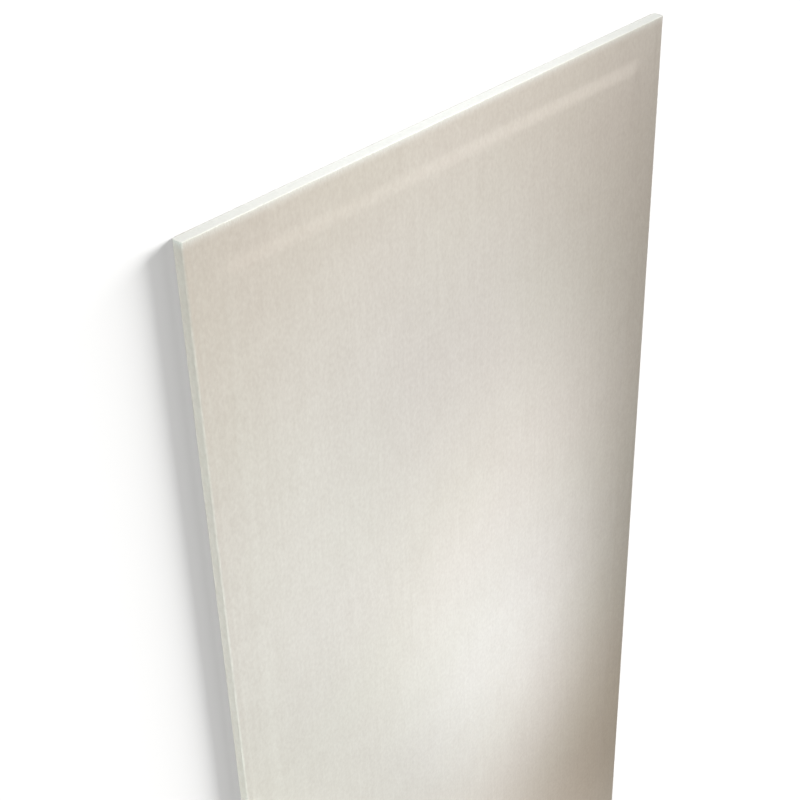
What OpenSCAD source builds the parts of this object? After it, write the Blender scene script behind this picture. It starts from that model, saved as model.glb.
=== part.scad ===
// Paper-faced gypsum board with four tapered edges, lying flat with its face up.
// X runs across the width, Y along the length and Z out of the face.
// The origin is the middle of the underside.

/* [Board] */
// Width of the board over its paper-wrapped edges
board_w = 600; // [400:50:1250]
// Length of the board between its cut ends
board_l = 2600; // [1000:50:3600]
// Thickness of the board in its field
board_t = 12.5; // [9.5:0.5:25]

/* [Tapered edges] */
// How far the edges lie below the field
taper_d = 1.1; // [0.6:0.1:2.5]
// Width of the level strip along each edge
strip_w = 30; // [20:1:60]
// Width of the slope between the strip and the field
ramp_w = 17; // [8:1:40]

/* [Edge rounding] */
// Radius where the face turns into a long edge
face_edge_r = 1.8; // [1:0.1:3]
// Radius where a long edge turns into the back
back_edge_r = 1.4; // [1:0.1:3]
// Radius of the face where it meets a cut end
end_edge_r = 1.2; // [0.4:0.1:2.5]

/* [Paper] */
// Thickness of the face paper
face_paper_t = 0.4; // [0.2:0.05:0.8]
// Thickness of the back paper
back_paper_t = 0.35; // [0.2:0.05:0.8]
// How far the face paper is folded in under the back
flap_w = 22; // [12:1:60]
// Distance from a long edge to the edge of the back paper
back_inset = 4; // [2:0.5:10]

/* [Hidden] */
// Points along each quarter round
arc_steps = 6;
// Reach of a cutter past the surface that it cuts
over = 2;
// Height of the sunken edge strip
strip_z = board_t - taper_d;
// Underside of the folded flaps
flap_z = back_paper_t;
half_w = board_w / 2;
half_l = board_l / 2;

// Points of a quarter round about a centre, from one angle through 90 degrees
function quarter(centre, r, from) = [
    for (i = [0 : arc_steps])
        let (a = from + 90 * i / arc_steps)
        centre + r * [cos(a), sin(a)]
];

// A right half outline and its mirror image, as one closed outline
function both_halves(right) = concat(
    right,
    [for (i = [len(right) - 1 : -1 : 0]) [-right[i][0], right[i][1]]]
);

// Long edge, sunken strip and slope of the cross section, at a depth below the paper's outer surface
function edge_points(depth) = concat(
    quarter([half_w - back_edge_r, flap_z + back_edge_r], back_edge_r - depth, -90),
    quarter([half_w - face_edge_r, strip_z - face_edge_r], face_edge_r - depth, 0),
    [
        [half_w - strip_w, strip_z - depth],
        [half_w - strip_w - ramp_w, board_t - depth]
    ]
);

// Step in the underside where the core comes down between the flaps, to a given bottom height
function flap_step(bottom_z) = [
    [half_w - flap_w, bottom_z],
    [half_w - flap_w, flap_z + face_paper_t]
];

// Lengthwise outline at a depth below the paper's outer surface, running on past both ends
function lengthwise_points(depth) = concat(
    [
        [half_l + over, -over],
        [half_l + over, strip_z - end_edge_r - depth]
    ],
    quarter([half_l - end_edge_r, strip_z - end_edge_r - depth], end_edge_r, 0),
    [
        [half_l - strip_w, strip_z - depth],
        [half_l - strip_w - ramp_w, board_t - depth]
    ]
);

// A cross section run along the board
module along_length(points, length) {
    rotate([90, 0, 0])
        linear_extrude(length, center = true)
            polygon(both_halves(points));
}

// The space under the lengthwise outline, wider than the board
module under_outline(depth) {
    rotate([90, 0, 90])
        linear_extrude(board_w + 2 * over, center = true)
            polygon(both_halves(lengthwise_points(depth)));
}

// Everything inside the face paper, with its underside at bottom_z between the flaps
module inside_paper(bottom_z, length) {
    intersection() {
        along_length(concat(flap_step(bottom_z), edge_points(face_paper_t)), length);
        under_outline(face_paper_t);
    }
}

module gypsum_core() {
    color([0.97, 0.98, 0.96])
        inside_paper(flap_z, board_l);
}

module face_paper() {
    color([0.85, 0.82, 0.79])
        difference() {
            intersection() {
                along_length(edge_points(0), board_l);
                under_outline(0);
            }
            inside_paper(flap_z - over, board_l + 2 * over);
        }
}

module back_paper() {
    color([0.66, 0.63, 0.58])
        translate([back_inset - half_w, -half_l, 0])
            cube([board_w - 2 * back_inset, board_l, back_paper_t]);
}

gypsum_core();
face_paper();
back_paper();
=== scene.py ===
import math

import bpy
import numpy as np
from mathutils import Matrix, Vector


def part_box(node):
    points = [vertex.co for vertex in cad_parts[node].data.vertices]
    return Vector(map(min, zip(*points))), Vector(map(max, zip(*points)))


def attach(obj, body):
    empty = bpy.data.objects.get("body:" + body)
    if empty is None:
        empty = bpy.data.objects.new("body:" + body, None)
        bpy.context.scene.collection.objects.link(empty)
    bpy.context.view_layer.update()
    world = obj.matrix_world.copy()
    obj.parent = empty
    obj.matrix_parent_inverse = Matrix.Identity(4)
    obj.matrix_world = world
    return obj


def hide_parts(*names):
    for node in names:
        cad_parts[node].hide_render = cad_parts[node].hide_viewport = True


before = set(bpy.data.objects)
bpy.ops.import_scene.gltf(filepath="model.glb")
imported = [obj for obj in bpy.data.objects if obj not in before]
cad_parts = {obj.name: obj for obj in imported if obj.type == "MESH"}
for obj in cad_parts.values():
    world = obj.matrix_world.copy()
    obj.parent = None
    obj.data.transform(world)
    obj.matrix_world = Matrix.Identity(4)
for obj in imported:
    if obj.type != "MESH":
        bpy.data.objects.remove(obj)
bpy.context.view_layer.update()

# Lengths are in metres. The board lies face up, X across its width and Y along its length.
MM = 0.001

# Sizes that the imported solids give
paper_low, paper_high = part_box("face_paper")
core_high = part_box("gypsum_core")[1]
back_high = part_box("back_paper")[1]
HALF_W = paper_high.x
HALF_L = paper_high.y
FIELD_Z = paper_high.z
FLAP_Z = paper_low.z
PAPER_T = FIELD_Z - core_high.z
BACK_HALF_W = back_high.x
BACK_T = back_high.z

# Sizes repeated from the part's source
TAPER_D = 1.1 * MM
STRIP_W = 30 * MM
RAMP_W = 17 * MM
FACE_EDGE_R = 1.8 * MM
BACK_EDGE_R = 1.4 * MM
FLAP_W = 22 * MM

# Softness of the slopes and edges of the face
RAMP_EASE = 2 * MM
GROOVE_FROM_EDGE = 7 * MM
GROOVE_HALF_W = 4 * MM
GROOVE_D = 0.25 * MM
END_ROUND = 0.6 * MM

# Waves of the face: their depth, radians a metre along X and Y, where they start, and their shares
FIELD_WAVE = 0.05 * MM
WAVE_X = 21
WAVE_Y = 9
WAVE_X_START = 1.3
WAVE_Y_START = 0.4
SLANT_X = 47
SLANT_Y = 13
SLANT_START = 2.1
WAVE_MEAN = 0.5
WAVE_SHARE = 0.3
SLANT_SHARE = 0.2

# Unevenness of the cut ends and of the back paper's edges, and the seed of the random draws
CUT_RAGGED = 0.15 * MM
CUT_REACH = 2 * MM
CUT_ROUGH = 0.08 * MM
PORE_DEPTH = 0.35 * MM
PORE_SHARE = 0.12
BACK_EDGE_WANDER = 0.4 * MM
SEED = 41

# Spacing of the meshes
ARC_STEPS = 8
STRIP_STEPS = 8
GROOVE_STEPS = 14
RAMP_STEPS = 22
FIELD_STEPS_X = 21
FIELD_STEPS_Y = 40
SIDE_STEPS = 5
FLAP_STEPS = 5
CORE_GRID = 1.2 * MM
CORE_LEVELS = 10
CORE_STRIP_STEPS = 4
CORE_RAMP_STEPS = 8
CORE_STEP_W = 0.1 * MM
BACK_STEPS_X = 12
BACK_STEPS_Y = 130
SHARP_ANGLE = math.radians(40)

# Sizes that follow
STRIP_Z = FIELD_Z - TAPER_D
RAMP_START = STRIP_W - RAMP_EASE
RAMP_END = STRIP_W + RAMP_W + RAMP_EASE
CORE_HALF_W = HALF_W - PAPER_T
CORE_FACE_R = FACE_EDGE_R - PAPER_T
CORE_BACK_R = BACK_EDGE_R - PAPER_T


# Shape of the face


def smooth_step(t):
    """0 below 0 and 1 above 1, with an S-shaped rise between."""
    t = np.clip(t, 0.0, 1.0)
    return t * t * t * (t * (6 * t - 15) + 10)


def field_share(from_edge):
    """0 in the sunken strip along an edge and 1 in the field."""
    return smooth_step((from_edge - RAMP_START) / (RAMP_END - RAMP_START))


def round_drop(from_edge, radius):
    """How far a surface drops as it rounds over an edge."""
    inside = np.clip(radius - from_edge, 0.0, radius)
    return radius - np.sqrt(radius ** 2 - inside ** 2)


def groove_drop(from_edge):
    """How far the face sinks in the shallow groove beside a long edge."""
    across = np.clip((from_edge - GROOVE_FROM_EDGE) / GROOVE_HALF_W, -1.0, 1.0)
    return GROOVE_D * (1 - across ** 2) ** 2


def taper_share(x, y):
    """0 along all four edges and 1 in the field."""
    return field_share(HALF_W - np.abs(x)) * field_share(HALF_L - np.abs(y))


def even_height(x, y):
    """Height of a perfectly even face, apart from the long edges' rounding."""
    drop = groove_drop(HALF_W - np.abs(x)) + round_drop(HALF_L - np.abs(y), END_ROUND)
    return STRIP_Z + TAPER_D * taper_share(x, y) - drop


def face_height(x, y):
    """Height of the face with the slow waves of its field, which only sink it."""
    wave = np.sin(x * WAVE_X + WAVE_X_START) * np.sin(y * WAVE_Y + WAVE_Y_START)
    slant = np.sin(x * SLANT_X + y * SLANT_Y + SLANT_START)
    sunk = FIELD_WAVE * (WAVE_MEAN - WAVE_SHARE * wave - SLANT_SHARE * slant)
    return even_height(x, y) - sunk * taper_share(x, y)


# Mesh helpers


def graded(stops, steps):
    """Distances through the given stops, with a count of steps between each pair."""
    runs = [np.linspace(a, b, n, endpoint=False) for a, b, n in zip(stops, stops[1:], steps)]
    return np.concatenate(runs + [np.array(stops[-1:])])


def both_ways(from_edge, half):
    """Places from one edge over the middle to the other, from distances that end at the middle."""
    return np.concatenate([from_edge - half, (half - from_edge)[-2::-1]])


def turn_steps(radius):
    """Distances from an edge that step evenly round it, short of its far end."""
    return radius * (1 - np.cos(np.linspace(0, math.pi / 2, ARC_STEPS, endpoint=False)))


def grid_faces(number):
    """Quads over a grid of point numbers."""
    corners = [number[:-1, :-1], number[:-1, 1:], number[1:, 1:], number[1:, :-1]]
    return np.stack(corners, axis=-1).reshape(-1, 4)


def border(number):
    """The point numbers round the edge of a grid, in order, with the first one again at the end."""
    sides = [number[0, :-1], number[:-1, -1], number[-1, :0:-1], number[:0:-1, 0], number[0, :1]]
    return np.concatenate(sides)


def ragged(y, rng):
    """Rows of places along the board, with its ends cut a little short, by turns, across it."""
    from_end = HALF_L - np.abs(y)
    short = CUT_RAGGED * rng.random((2, y.shape[1]))
    fade = np.clip(1 - from_end / CUT_REACH, 0.0, 1.0)
    return y - np.sign(y) * fade * np.where(y > 0, short[0], short[1])


def closed_sheet(outer, inner):
    """Points and faces of a thin sheet, from the matching grids of its two sides."""
    number = np.arange(outer.shape[0] * outer.shape[1]).reshape(outer.shape[:2])
    count = number.size
    rim = border(number)
    faces = np.concatenate([
        grid_faces(number),
        grid_faces(number + count)[:, ::-1],
        grid_faces(np.stack([rim + count, rim])),
    ])
    return np.concatenate([outer.reshape(-1, 3), inner.reshape(-1, 3)]), faces


def mesh_piece(name, points, faces, material, node):
    """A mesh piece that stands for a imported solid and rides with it."""
    mesh = bpy.data.meshes.new(name)
    mesh.from_pydata(points.tolist(), [], faces.tolist())
    mesh.shade_smooth()
    mesh.set_sharp_from_angle(angle=SHARP_ANGLE)
    mesh.materials.append(material)
    piece = bpy.data.objects.new(name, mesh)
    bpy.context.scene.collection.objects.link(piece)
    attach(piece, "root")
    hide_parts(node)
    return piece


# Face paper


def quarter_round(centre_x, centre_z, radius, start_deg):
    """A quarter round of a section: its points and their outward directions."""
    angle = np.radians(start_deg + np.linspace(0, 90, ARC_STEPS + 1))
    out = np.stack([np.cos(angle), np.sin(angle)], axis=1)
    return np.array([centre_x, centre_z]) + radius * out, out


def straight_run(x, z, out):
    """A straight run of a section: its points and their one outward direction."""
    points = np.stack(np.broadcast_arrays(x, z), axis=1)
    return points, np.tile(np.array(out, float), (len(points), 1))


def paper_section():
    """The face paper's outer outline from the left flap over the face to the right one.

    Gives the points, their outward directions, and which of them lie on the face."""
    flap_x = np.linspace(HALF_W - FLAP_W, HALF_W - BACK_EDGE_R, FLAP_STEPS, endpoint=False)
    side_z = np.linspace(FLAP_Z + BACK_EDGE_R, STRIP_Z - FACE_EDGE_R, SIDE_STEPS + 1)[1:-1]
    groove_end = GROOVE_FROM_EDGE + GROOVE_HALF_W
    face_x = HALF_W - graded(
        [FACE_EDGE_R, groove_end, RAMP_START, RAMP_END, HALF_W],
        [GROOVE_STEPS, STRIP_STEPS, RAMP_STEPS, FIELD_STEPS_X])[1:]
    runs = [
        straight_run(flap_x, FLAP_Z, (0, -1)),
        quarter_round(HALF_W - BACK_EDGE_R, FLAP_Z + BACK_EDGE_R, BACK_EDGE_R, -90),
        straight_run(HALF_W, side_z, (1, 0)),
        quarter_round(HALF_W - FACE_EDGE_R, STRIP_Z - FACE_EDGE_R, FACE_EDGE_R, 0),
        straight_run(face_x, FIELD_Z, (0, 1)),
    ]
    right = np.concatenate([points for points, _ in runs])
    right_out = np.concatenate([out for _, out in runs])
    to_left = np.array([-1.0, 1.0])
    points = np.concatenate([right * to_left, right[-2::-1]])
    out = np.concatenate([right_out * to_left, right_out[-2::-1]])
    return points, out, points[:, 1] == FIELD_Z


def paper_rows():
    """Places along the board, close together where its ends round over and ramp up."""
    rest = graded(
        [END_ROUND, RAMP_START, RAMP_END, HALF_L], [STRIP_STEPS, RAMP_STEPS, FIELD_STEPS_Y])
    return both_ways(np.concatenate([turn_steps(END_ROUND), rest]), HALF_L)


def face_paper_piece(material):
    """A thin closed skin over the face, round both long edges and a little way under the back."""
    rng = np.random.default_rng(SEED)
    section, out, on_face = paper_section()
    x, y = np.meshgrid(section[:, 0], paper_rows())
    edge_z = np.minimum(section[:, 1], STRIP_Z - round_drop(HALF_L - np.abs(y), END_ROUND))
    z = np.where(on_face, face_height(x, y), edge_z)
    outer = np.stack([x, ragged(y, rng), z], axis=-1)
    inner = outer.copy()
    inner[..., 0] -= PAPER_T * out[:, 0]
    inner[..., 2] -= PAPER_T * out[:, 1]
    points, faces = closed_sheet(outer, inner)
    return mesh_piece("face_paper_skin", points, faces, material, "face_paper")


# Gypsum core


def core_columns():
    """Places across the core, close together at its edges and at the step beside a flap."""
    step = FLAP_W - PAPER_T
    before = step - CORE_STEP_W / 2
    after = step + CORE_STEP_W / 2
    side_steps = math.ceil((before - CORE_FACE_R) / CORE_GRID)
    middle_steps = math.ceil((CORE_HALF_W - after) / CORE_GRID)
    rest = graded([CORE_FACE_R, before, after, CORE_HALF_W], [side_steps, 1, middle_steps])
    return both_ways(np.concatenate([turn_steps(CORE_FACE_R), rest]), CORE_HALF_W)


def core_rows():
    """Places along the core, close together where its ends round over and ramp up."""
    rest = graded([END_ROUND, RAMP_START, RAMP_END, HALF_L], [CORE_STRIP_STEPS, CORE_RAMP_STEPS, 1])
    return both_ways(np.concatenate([turn_steps(END_ROUND), rest]), HALF_L)


def core_section(x, y):
    """Points of the core's section at a place along it, a row of them for each level."""
    from_side = CORE_HALF_W - np.abs(x)
    over_flap = from_side < FLAP_W - PAPER_T
    low = np.where(over_flap, FLAP_Z + PAPER_T, FLAP_Z) + round_drop(from_side, CORE_BACK_R)
    high = even_height(x, y) - FIELD_WAVE - PAPER_T - round_drop(from_side, CORE_FACE_R)
    level = np.linspace(0, 1, CORE_LEVELS + 1)[:, None]
    z = low + level * (high - low)
    return np.stack([np.broadcast_to(x, z.shape), np.full(z.shape, y), z], axis=-1)


def cut_relief(rng, shape):
    """How far the points of a cut end lie behind its plane: rough and porous inside a level border."""
    pores = PORE_DEPTH * rng.random(shape) * (rng.random(shape) < PORE_SHARE)
    relief = pores + CUT_ROUGH * rng.random(shape)
    relief[[0, -1]] = 0
    relief[:, [0, -1]] = 0
    return relief


def core_piece(material):
    """A closed block with finely gridded, porous ends."""
    rng = np.random.default_rng(SEED)
    x = core_columns()
    rows = core_rows()
    first = core_section(x, rows[0])
    last = core_section(x, rows[-1])
    first[..., 1] += cut_relief(rng, first.shape[:2])
    last[..., 1] -= cut_relief(rng, last.shape[:2])
    number = np.arange(first.shape[0] * first.shape[1]).reshape(first.shape[:2])
    ring = border(number)
    middle = [core_section(x, y).reshape(-1, 3)[ring[:-1]] for y in rows[1:-1]]
    ring_size = len(ring) - 1
    middle_numbers = 2 * number.size + np.arange(len(middle) * ring_size).reshape(len(middle), -1)
    middle_rings = np.concatenate([middle_numbers, middle_numbers[:, :1]], axis=1)
    rings = np.concatenate([ring[None], middle_rings, ring[None] + number.size])
    points = np.concatenate([first.reshape(-1, 3), last.reshape(-1, 3)] + middle)
    faces = np.concatenate([
        grid_faces(number),
        grid_faces(number + number.size)[:, ::-1],
        grid_faces(rings)[:, ::-1],
    ])
    return mesh_piece("gypsum_block", points, faces, material, "gypsum_core")


# Back paper


def back_paper_piece(material):
    """A thin closed sheet under the core, with edges that wander a little and ragged ends."""
    rng = np.random.default_rng(SEED)
    across = np.linspace(-1, 1, BACK_STEPS_X + 1)
    along = np.linspace(-HALF_L, HALF_L, BACK_STEPS_Y + 1)
    reach = BACK_HALF_W - BACK_EDGE_WANDER * rng.random((2, len(along)))
    x = np.where(across < 0, across * reach[0][:, None], across * reach[1][:, None])
    y = ragged(np.repeat(along[:, None], len(across), axis=1), rng)
    upper = np.stack([x, y, np.full(x.shape, BACK_T)], axis=-1)
    lower = upper * np.array([1, 1, 0])
    points, faces = closed_sheet(upper, lower)
    return mesh_piece("back_paper_sheet", points, faces, material, "back_paper")


# Face paper's look: grain sizes along X, Y and Z, weights of the grains, colours and finish
PAPER_STREAKS = (4.2 * MM, 90 * MM, 4.2 * MM)
PAPER_FIBRES = (0.5 * MM, 3.5 * MM, 0.5 * MM)
PAPER_GRAIN = (2.6 * MM, 4.4 * MM, 2.6 * MM)
PAPER_MOTTLE = (26 * MM, 26 * MM, 26 * MM)
PAPER_CLOUDS = (190 * MM, 190 * MM, 190 * MM)
STREAKS_IN_TONE = 0.45
GRAIN_IN_TONE = 1.2
MOTTLE_IN_TONE = 0.45
FIBRES_IN_TONE = 0.5
CLOUDS_IN_TINT = 1.6
STREAKS_IN_RELIEF = 0.4
FIBRES_IN_RELIEF = 1.0
GRAIN_IN_RELIEF = 0.6
PINK_DARK = (0.592, 0.535, 0.490, 1)
PINK_LIGHT = (0.700, 0.650, 0.602, 1)
CREAM_DARK = (0.590, 0.545, 0.484, 1)
CREAM_LIGHT = (0.690, 0.655, 0.592, 1)
PAPER_ROUGHNESS = (0.29, 0.43)
PAPER_BUMP = 0.35
PAPER_BUMP_D = 0.04 * MM
PAPER_SPECULAR = 0.2

# Whitening of the face at the cut ends: gypsum dust, and also a painted highlight where the face meets
# the cut
DUST_AND_HIGHLIGHT_REACH = 10 * MM
DUST_AND_HIGHLIGHT_MOST = 0.8
DUST_AND_HIGHLIGHT_COLOUR = (0.88, 0.9, 0.87, 1)

# Gypsum's look
GYPSUM_FINE = (0.5 * MM, 0.5 * MM, 0.5 * MM)
GYPSUM_COARSE = (3 * MM, 3 * MM, 3 * MM)
GYPSUM_WEIGHT = 0.8
GYPSUM_DARK = (0.74, 0.76, 0.75, 1)
GYPSUM_LIGHT = (0.86, 0.88, 0.87, 1)
GYPSUM_ROUGHNESS = (0.8, 0.98)
GYPSUM_BUMP = 0.6
GYPSUM_BUMP_D = 0.15 * MM
GYPSUM_SPECULAR = 0.2

# Back paper's look
BACK_STREAKS = (6 * MM, 120 * MM, 6 * MM)
BACK_FIBRES = (0.6 * MM, 3 * MM, 0.6 * MM)
BACK_MOTTLE = (18 * MM, 18 * MM, 18 * MM)
BACK_STREAKS_WEIGHT = 0.6
BACK_FIBRES_WEIGHT = 0.9
BACK_MOTTLE_WEIGHT = 0.9
BACK_DARK = (0.31, 0.28, 0.235, 1)
BACK_LIGHT = (0.46, 0.425, 0.37, 1)
BACK_ROUGHNESS = (0.65, 0.9)
BACK_BUMP = 0.4
BACK_BUMP_D = 0.05 * MM


# Materials


class Graph:
    """A node tree, with short ways to add nodes and link them."""

    def __init__(self, tree):
        self.tree = tree
        self.coordinates = None

    def feed(self, socket, value):
        """Sets a socket, or links it where the value is another node's socket."""
        if isinstance(value, bpy.types.NodeSocket):
            self.tree.links.new(value, socket)
        else:
            socket.default_value = value

    def add(self, kind, **inputs):
        """A node whose named inputs are set or linked."""
        node = self.tree.nodes.new(kind)
        for name, value in inputs.items():
            self.feed(node.inputs[name.replace("_", " ")], value)
        return node

    def math(self, operation, *values):
        """The result of an operation on the values."""
        node = self.tree.nodes.new("ShaderNodeMath")
        node.operation = operation
        for socket, value in zip(node.inputs, values):
            self.feed(socket, value)
        return node.outputs[0]

    def places(self):
        """Places on the piece, in metres."""
        if self.coordinates is None:
            self.coordinates = self.add("ShaderNodeTexCoord").outputs["Object"]
        return self.coordinates

    def noise(self, grain, detail=2.0):
        """Noise about 0.5 whose grain has these sizes along X, Y and Z."""
        scale = tuple(1 / size for size in grain)
        mapping = self.add("ShaderNodeMapping", Vector=self.places(), Scale=scale)
        node = self.add("ShaderNodeTexNoise", Vector=mapping.outputs[0], Scale=1.0, Detail=detail)
        return node.outputs[0]

    def weighted(self, *pairs):
        """0.5 plus each noise's difference from 0.5 times its weight."""
        total = 0.5
        for noise, weight in pairs:
            total = self.math("MULTIPLY_ADD", self.math("SUBTRACT", noise, 0.5), weight, total)
        return total

    def spread(self, value, low, high):
        """A 0 to 1 value spread over a range."""
        return self.add("ShaderNodeMapRange", Value=value, To_Min=low, To_Max=high).outputs[0]

    def mix(self, share, colour_a, colour_b):
        """The first colour where the share is 0, and the second where it is 1."""
        node = self.tree.nodes.new("ShaderNodeMix")
        node.data_type = "RGBA"
        self.feed(node.inputs["Factor"], share)
        for socket, colour in zip(node.inputs[6:8], (colour_a, colour_b)):
            self.feed(socket, colour)
        return node.outputs[2]

    def background_rays(self):
        """1 for the rays that show the background, from the camera or by way of gloss or glass."""
        path = self.add("ShaderNodeLightPath").outputs
        seen = self.math("MAXIMUM", path["Is Camera Ray"], path["Is Glossy Ray"])
        return self.math("MAXIMUM", seen, path["Is Transmission Ray"])


def shaded_material(name):
    """A new material, its graph and its shader."""
    material = bpy.data.materials.new(name)
    material.use_nodes = True
    graph = Graph(material.node_tree)
    return material, graph, material.node_tree.nodes["Principled BSDF"]


def dust_and_highlight_share(graph, fibres):
    """How much gypsum dust and painted highlight whiten the paper: some along the cut ends, more where
    the fibres are high.
    """
    along = graph.add("ShaderNodeSeparateXYZ", Vector=graph.places()).outputs["Y"]
    past = graph.math("SUBTRACT", graph.math("ABSOLUTE", along), HALF_L - DUST_AND_HIGHLIGHT_REACH)
    near_end = graph.math("MAXIMUM", graph.math("DIVIDE", past, DUST_AND_HIGHLIGHT_REACH), 0.0)
    dust_and_highlight_amount = graph.math("MULTIPLY", near_end, near_end)
    return graph.math("MULTIPLY", dust_and_highlight_amount, graph.spread(fibres, 0.0, 2 * DUST_AND_HIGHLIGHT_MOST))


def face_paper_material():
    """Ivory paper with faint machine streaks along the length, fine grain and faint clouds."""
    material, graph, shader = shaded_material("face_paper")
    streaks = graph.noise(PAPER_STREAKS)
    fibres = graph.noise(PAPER_FIBRES, detail=3)
    grain = graph.noise(PAPER_GRAIN)
    mottle = graph.noise(PAPER_MOTTLE, detail=3)
    clouds = graph.noise(PAPER_CLOUDS, detail=1)
    tone = graph.weighted(
        (streaks, STREAKS_IN_TONE), (grain, GRAIN_IN_TONE),
        (mottle, MOTTLE_IN_TONE), (fibres, FIBRES_IN_TONE))
    pink = graph.mix(tone, PINK_DARK, PINK_LIGHT)
    cream = graph.mix(tone, CREAM_DARK, CREAM_LIGHT)
    paper = graph.mix(graph.weighted((clouds, CLOUDS_IN_TINT)), pink, cream)
    # The paper whitens toward the cut ends: partly gypsum dust, partly a painted highlight along the edge
    graph.feed(shader.inputs["Base Color"], graph.mix(dust_and_highlight_share(graph, fibres), paper, DUST_AND_HIGHLIGHT_COLOUR))
    graph.feed(shader.inputs["Roughness"], graph.spread(grain, *PAPER_ROUGHNESS))
    relief = graph.weighted(
        (streaks, STREAKS_IN_RELIEF), (fibres, FIBRES_IN_RELIEF), (grain, GRAIN_IN_RELIEF))
    bump = graph.add("ShaderNodeBump", Height=relief, Strength=PAPER_BUMP, Distance=PAPER_BUMP_D)
    graph.feed(shader.inputs["Normal"], bump.outputs[0])
    shader.inputs["Specular IOR Level"].default_value = PAPER_SPECULAR
    return material


def gypsum_material():
    """White foamed gypsum with fine pores."""
    material, graph, shader = shaded_material("gypsum")
    fine = graph.noise(GYPSUM_FINE, detail=4)
    coarse = graph.noise(GYPSUM_COARSE, detail=3)
    tone = graph.weighted((fine, GYPSUM_WEIGHT), (coarse, GYPSUM_WEIGHT))
    graph.feed(shader.inputs["Base Color"], graph.mix(tone, GYPSUM_DARK, GYPSUM_LIGHT))
    graph.feed(shader.inputs["Roughness"], graph.spread(fine, *GYPSUM_ROUGHNESS))
    bump = graph.add("ShaderNodeBump", Height=tone, Strength=GYPSUM_BUMP, Distance=GYPSUM_BUMP_D)
    graph.feed(shader.inputs["Normal"], bump.outputs[0])
    shader.inputs["Specular IOR Level"].default_value = GYPSUM_SPECULAR
    return material


def back_paper_material():
    """Grey-brown liner paper with coarse fibres."""
    material, graph, shader = shaded_material("back_paper")
    streaks = graph.noise(BACK_STREAKS)
    fibres = graph.noise(BACK_FIBRES, detail=4)
    mottle = graph.noise(BACK_MOTTLE, detail=4)
    tone = graph.weighted(
        (streaks, BACK_STREAKS_WEIGHT), (fibres, BACK_FIBRES_WEIGHT), (mottle, BACK_MOTTLE_WEIGHT))
    graph.feed(shader.inputs["Base Color"], graph.mix(tone, BACK_DARK, BACK_LIGHT))
    graph.feed(shader.inputs["Roughness"], graph.spread(fibres, *BACK_ROUGHNESS))
    bump = graph.add("ShaderNodeBump", Height=tone, Strength=BACK_BUMP, Distance=BACK_BUMP_D)
    graph.feed(shader.inputs["Normal"], bump.outputs[0])
    return material


pieces = [
    face_paper_piece(face_paper_material()),
    core_piece(gypsum_material()),
    back_paper_piece(back_paper_material()),
]

# Camera, placed from the board's nearer left corner
CORNER = Vector((-HALF_W, HALF_L, STRIP_Z))
EYE_OFFSET_MM = Vector((-622.9, 533.8, 822.3))
AIM_OFFSET_MM = Vector((222.4, -250.1, 0))
EYE = CORNER + EYE_OFFSET_MM * MM
AIM = CORNER + AIM_OFFSET_MM * MM
PICTURE_TURN = math.radians(2.45)
LENS_MM = 71.0
SHIFT_X = -0.0007
SHIFT_Y = 0.001


def place_camera():
    """A camera turned so that the length of the board runs up the picture, a little slanted."""
    data = bpy.data.cameras.new("camera")
    data.lens = LENS_MM
    data.shift_x = SHIFT_X
    data.shift_y = SHIFT_Y
    camera = bpy.data.objects.new("camera", data)
    bpy.context.scene.collection.objects.link(camera)
    forward = (AIM - EYE).normalized()
    along = Vector((math.sin(PICTURE_TURN), math.cos(PICTURE_TURN), 0))
    right = forward.cross(along).normalized()
    up = right.cross(forward)
    camera.matrix_world = Matrix.Translation(EYE) @ Matrix((right, up, -forward)).transposed().to_4x4()
    bpy.context.scene.camera = camera


place_camera()

# Studio
FLOOR_REACH = 30.0
FLOOR_GAP = 0.1 * MM
FLOOR_TONE = 0.25
FLOOR_LIFT = 0.43
FILL = (0.15, 0.138, 0.105, 1)
WHITE = (1, 1, 1)
CREAM = (1, 0.95, 0.9)
AMBER = (1, 0.76, 0.51)
PALE = (0.86, 0.98, 1)
BLUE = (0.63, 0.8, 1)
RIG = (0.1, 2.4, 1.68)
SPOT_RADIUS = 0.1
STRIP_LAMP_OUT = 13 * MM
STRIP_LAMP_Z = 2 * MM
STRIP_LAMP_H = 3 * MM
OVERHEAD_SPREAD = math.radians(50)


def receivers(name, objects):
    """A group of objects for a lamp to light."""
    group = bpy.data.collections.new(name)
    for item in objects:
        group.objects.link(item)
    return group


def lamp(data, place, aim, group):
    """A lamp at a place, pointing at its aim, that neither the camera nor gloss shows."""
    item = bpy.data.objects.new(data.name, data)
    bpy.context.scene.collection.objects.link(item)
    item.location = place
    item.rotation_euler = (Vector(aim) - Vector(place)).to_track_quat("-Z", "Y").to_euler()
    item.visible_camera = False
    item.visible_glossy = False
    item.light_linking.receiver_collection = group
    return item


def softbox(name, place, aim, size, power, tint):
    """A flat rectangular lamp for the board, as wide and as high as its size says."""
    data = bpy.data.lights.new(name, "AREA")
    data.shape = "RECTANGLE"
    data.size, data.size_y = size
    data.energy = power
    data.color = tint
    return lamp(data, place, aim, board_group)


def overhead_box(name, place, size, turn_deg, power):
    """A softbox that faces straight down and hardly lights what lies beside it."""
    below = (place[0], place[1], 0)
    item = softbox(name, place, below, size, power, WHITE)
    item.rotation_euler = (0, 0, math.radians(turn_deg))
    item.data.spread = OVERHEAD_SPREAD
    return item


def low_strip(name, side, outward, length, power):
    """A strip light on the floor close to a side of the board, too low to light the face."""
    aim = Vector((*side, STRIP_LAMP_Z))
    place = aim + STRIP_LAMP_OUT * Vector((*outward, 0))
    return softbox(name, place, aim, (length, STRIP_LAMP_H), power, WHITE)


def rig_spot(name, aim, half_angle_deg, power, tint):
    """A soft-edged spot on the rig, aimed at a place on the board."""
    data = bpy.data.lights.new(name, "SPOT")
    data.spot_size = math.radians(2 * half_angle_deg)
    data.spot_blend = 1.0
    data.shadow_soft_size = SPOT_RADIUS
    data.energy = power
    data.color = tint
    return lamp(data, RIG, (*aim, 0), board_group)


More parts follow.
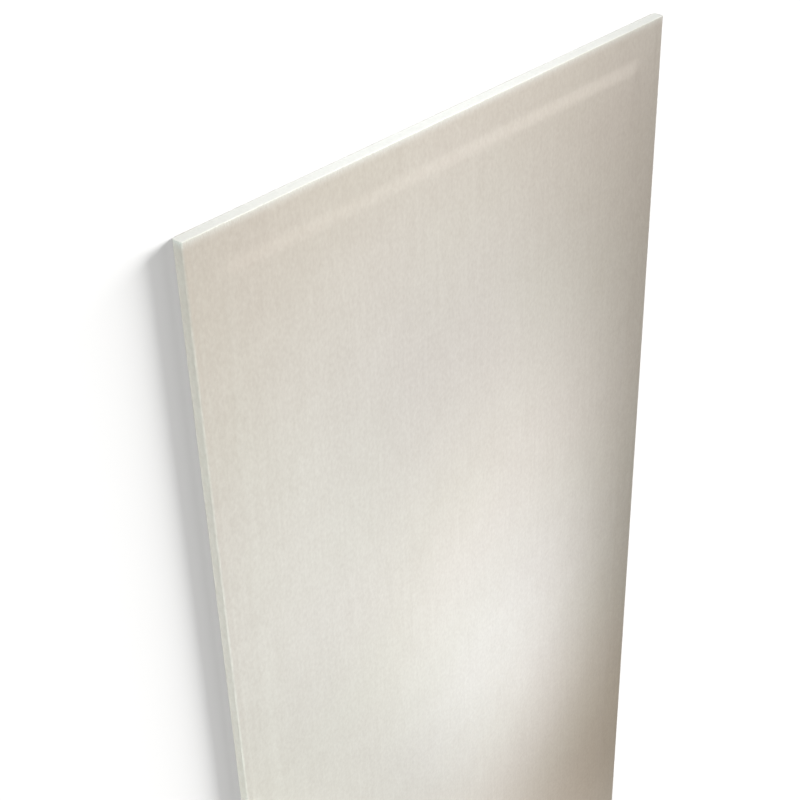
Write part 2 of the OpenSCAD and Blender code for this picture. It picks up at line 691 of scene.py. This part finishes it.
def floor_sun(name, place, angle_deg, strength):
    """A wide sun that casts the board's soft shadow on the floor."""
    data = bpy.data.lights.new(name, "SUN")
    data.angle = math.radians(angle_deg)
    data.energy = strength
    return lamp(data, place, (0, 0, 0), floor_group)


def floor_material():
    """A pale floor that shows white where no shadow falls on it."""
    material, graph, shader = shaded_material("floor")
    shader.inputs["Base Color"].default_value = (FLOOR_TONE, FLOOR_TONE, FLOOR_TONE, 1)
    shader.inputs["Roughness"].default_value = 1.0
    shader.inputs["Specular IOR Level"].default_value = 0.0
    shader.inputs["Emission Color"].default_value = (*WHITE, 1)
    lift = graph.math("MULTIPLY", graph.background_rays(), FLOOR_LIFT)
    graph.feed(shader.inputs["Emission Strength"], lift)
    return material


def floor_piece():
    """A wide level floor just under the board, which throws no light back at it."""
    reach = FLOOR_REACH
    corners = [(-reach, -reach, 0), (reach, -reach, 0), (reach, reach, 0), (-reach, reach, 0)]
    mesh = bpy.data.meshes.new("floor")
    mesh.from_pydata(corners, [], [(0, 1, 2, 3)])
    mesh.materials.append(floor_material())
    floor = bpy.data.objects.new("floor", mesh)
    floor.location.z = -FLOOR_GAP
    floor.visible_diffuse = False
    bpy.context.scene.collection.objects.link(floor)
    return floor


def studio_world():
    """A little even light, and white to look at."""
    world = bpy.data.worlds.new("studio")
    bpy.context.scene.world = world
    world.use_nodes = True
    graph = Graph(world.node_tree)
    background = world.node_tree.nodes["Background"]
    graph.feed(background.inputs["Color"], graph.mix(graph.background_rays(), FILL, (*WHITE, 1)))


floor = floor_piece()
studio_world()
board_group = receivers("lit_board", pieces)
floor_group = receivers("lit_floor", [floor])

# Softboxes beside the board. The slope at the cut end gleams with the light of the ramp box.
softbox("end_box", place=(0.18, 1.75, 0.16), aim=(0.12, 1.2, 0), size=(1.3, 0.3), power=3.65, tint=WHITE)
softbox("left_box", place=(-0.8, 0.1, 0.16), aim=(-0.1, 0.1, 0), size=(2.7, 0.3), power=7.8, tint=PALE)
ramp_box = softbox(
    "ramp_box", place=(1.32, 0.86, 0.92), aim=(0.2, 1.26, 0), size=(0.15, 0.15), power=2.4, tint=CREAM)
ramp_box.visible_glossy = True

# Spots for the nearer half of the face, brightest right of its middle
rig_spot("end_spot", aim=(-0.15, 1.025), half_angle_deg=15.7, power=104, tint=CREAM)
rig_spot("field_spot", aim=(-0.06, 0.9), half_angle_deg=10, power=76, tint=BLUE)
rig_spot("left_spot", aim=(-0.2, 0.75), half_angle_deg=6, power=78, tint=PALE)
rig_spot("edge_spot", aim=(-0.3, 1.02), half_angle_deg=6, power=26, tint=PALE)
rig_spot("middle_spot", aim=(0.08, 0.75), half_angle_deg=6, power=105, tint=WHITE)
rig_spot("sheen_spot", aim=(0.085, 0.56), half_angle_deg=4.6, power=163, tint=BLUE)
rig_spot("lower_spot", aim=(-0.12, 0.48), half_angle_deg=6, power=62, tint=PALE)
rig_spot("right_spot", aim=(0.15, 0.33), half_angle_deg=6, power=96, tint=AMBER)

# Even light for the farther half of the face, fading in along the right edge
overhead_box("far_box", place=(-0.2, -0.52, 0.35), size=(2.4, 1.7), turn_deg=-39.4, power=5.4)
overhead_box("fade_box", place=(-0.5, -0.63, 0.6), size=(2.5, 1.2), turn_deg=-66, power=2.3)

# Strips along both long sides and the far end, then suns for the floor
low_strip("left_strip", side=(-HALF_W, 0), outward=(-1, 0), length=2.6, power=0.045)
low_strip("right_strip", side=(HALF_W, 0), outward=(1, 0), length=2.6, power=0.19)
low_strip("far_strip", side=(0, -HALF_L), outward=(0, -1), length=0.6, power=0.055)

floor_sun("low_sun", place=(3, 0.6, 0.65), angle_deg=30, strength=29.5)
floor_sun("high_sun", place=(3, 0.6, 2.1), angle_deg=40, strength=1.9)

bpy.context.scene.view_settings.view_transform = "Standard"
